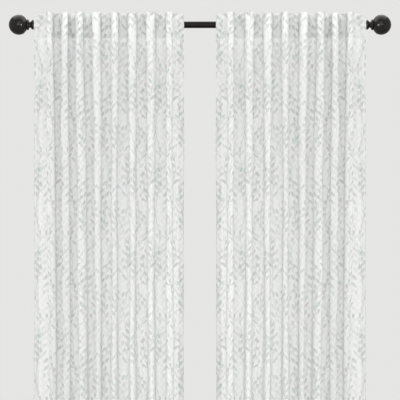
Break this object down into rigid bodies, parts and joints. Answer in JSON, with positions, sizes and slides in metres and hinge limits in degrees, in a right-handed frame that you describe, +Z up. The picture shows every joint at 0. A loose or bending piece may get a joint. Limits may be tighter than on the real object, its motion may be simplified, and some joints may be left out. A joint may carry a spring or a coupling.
{
  "type": "pair of back-tab curtain panels on a curtain rod",
  "caption": "Pair of semi-sheer printed curtain panels hanging in soft vertical folds by back tabs from a round rod with ball finials; screens a window.",
  "frame": {"origin": "on the rod's axis, halfway between its two ends", "axes": "+X along the rod to the right as seen from the room, +Y from the room to the wall, +Z up; the panels hang down -Z"},
  "size_m": [1.4734, 0.1069, 2.134],
  "materials": {
    "rod_paint": "satin near-black paint",
    "finial_paint": "satin near-black paint with a soft highlight",
    "panel_cloth": "white semi-sheer plain weave with a grey-sage leaf and vine print",
    "tab_cloth": "white plain weave"
  },
  "bodies": {
    "root": {"rod": "rod_paint", "finial_left": "finial_paint", "finial_right": "finial_paint", "panel_left": "panel_cloth", "panel_right": "panel_cloth", "tab_left_1": "tab_cloth", "tab_left_2": "tab_cloth", "tab_left_3": "tab_cloth", "tab_left_4": "tab_cloth", "tab_left_5": "tab_cloth", "tab_left_6": "tab_cloth", "tab_left_7": "tab_cloth", "tab_left_8": "tab_cloth", "tab_left_9": "tab_cloth", "tab_right_1": "tab_cloth", "tab_right_2": "tab_cloth", "tab_right_3": "tab_cloth", "tab_right_4": "tab_cloth", "tab_right_5": "tab_cloth", "tab_right_6": "tab_cloth", "tab_right_7": "tab_cloth", "tab_right_8": "tab_cloth", "tab_right_9": "tab_cloth"}
  },
  "joints": []
}
